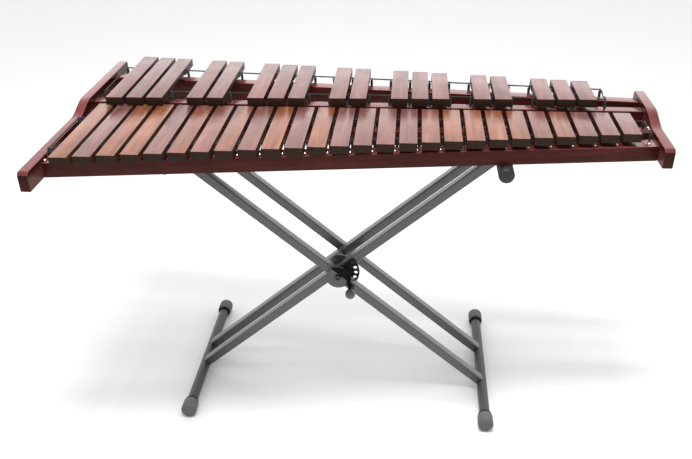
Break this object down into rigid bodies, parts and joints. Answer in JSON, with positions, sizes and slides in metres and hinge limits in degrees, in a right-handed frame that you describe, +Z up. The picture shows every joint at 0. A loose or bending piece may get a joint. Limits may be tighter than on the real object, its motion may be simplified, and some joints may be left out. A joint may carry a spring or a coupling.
{
  "type": "xylophone",
  "caption": "Two-row wooden bar xylophone: bars on cords over a tapering rail frame with stepped end pieces, on a folding double-tube X stand.",
  "frame": {"origin": "on the floor, under the middle of the object's box", "axes": "+X towards the treble end (the player's right), +Y away from the player, +Z up"},
  "size_m": [1.33, 0.636, 0.7615],
  "materials": {
    "bar_wood": "satin lacquered reddish hardwood",
    "frame_wood": "glossy dark mahogany stain",
    "cord": "braided black cord",
    "stand_paint": "charcoal grey powder coat",
    "bolt_steel": "zinc plated",
    "black_steel": "black coated steel",
    "black_plastic": "black moulded plastic"
  },
  "bodies": {
    "left_foot": {"left_foot_bar": "stand_paint"},
    "inner_legs": {"inner_leg_frame": "stand_paint", "pivot_bolt": "bolt_steel", "locking_disc": "black_steel"},
    "outer_legs": {"outer_leg_frame": "stand_paint", "right_foot_bar": "stand_paint", "clutch_cover": "black_plastic"},
    "keyboard": {"natural_bar_01": "bar_wood", "natural_bar_02": "bar_wood", "natural_bar_03": "bar_wood", "natural_bar_04": "bar_wood", "natural_bar_05": "bar_wood", "natural_bar_06": "bar_wood", "natural_bar_07": "bar_wood", "natural_bar_08": "bar_wood", "natural_bar_09": "bar_wood", "natural_bar_10": "bar_wood", "natural_bar_11": "bar_wood", "natural_bar_12": "bar_wood", "natural_bar_13": "bar_wood", "natural_bar_14": "bar_wood", "natural_bar_15": "bar_wood", "natural_bar_16": "bar_wood", "natural_bar_17": "bar_wood", "natural_bar_18": "bar_wood", "natural_bar_19": "bar_wood", "natural_bar_20": "bar_wood", "natural_bar_21": "bar_wood", "natural_bar_22": "bar_wood", "natural_bar_23": "bar_wood", "natural_bar_24": "bar_wood", "natural_bar_25": "bar_wood", "natural_bar_26": "bar_wood", "accidental_bar_01": "bar_wood", "accidental_bar_02": "bar_wood", "accidental_bar_03": "bar_wood", "accidental_bar_04": "bar_wood", "accidental_bar_05": "bar_wood", "accidental_bar_06": "bar_wood", "accidental_bar_07": "bar_wood", "accidental_bar_08": "bar_wood", "accidental_bar_09": "bar_wood", "accidental_bar_10": "bar_wood", "accidental_bar_11": "bar_wood", "accidental_bar_12": "bar_wood", "accidental_bar_13": "bar_wood", "accidental_bar_14": "bar_wood", "accidental_bar_15": "bar_wood", "accidental_bar_16": "bar_wood", "accidental_bar_17": "bar_wood", "accidental_bar_18": "bar_wood", "natural_front_rail": "frame_wood", "natural_rear_rail": "frame_wood", "accidental_front_rail": "frame_wood", "accidental_rear_rail": "frame_wood", "left_end_piece": "frame_wood", "right_end_piece": "frame_wood", "natural_cord": "cord", "accidental_cord": "cord"},
    "pull_pin": {"release_knob": "black_plastic"}
  },
  "joints": [
    {"name": "left_foot_hinge", "type": "hinge", "parent": "left_foot", "child": "inner_legs", "pos_m": [-0.419, -0.004, 0.019], "axis": [0, -1, 0], "range_deg": [-28, 45]},
    {"name": "scissor_pivot", "type": "hinge", "parent": "inner_legs", "child": "outer_legs", "pos_m": [-0.048, -0.004, 0.3396], "axis": [0, -1, 0], "range_deg": [-90, 56]},
    {"name": "keyboard_rest", "type": "hinge", "parent": "inner_legs", "child": "keyboard", "pos_m": [0.323, -0.004, 0.6602], "axis": [0, -1, 0], "range_deg": [-45, 28]},
    {"name": "pin_pull", "type": "slide", "parent": "outer_legs", "child": "pull_pin", "axis": [0, -1, 0], "range_m": [0, 0.008], "stiffness_N_per_m": 600, "springref_m": -0.01}
  ],
  "couplings": [
    {"joint": "scissor_pivot", "follows": "left_foot_hinge", "ratio": -2},
    {"joint": "keyboard_rest", "follows": "left_foot_hinge", "ratio": -1}
  ]
}
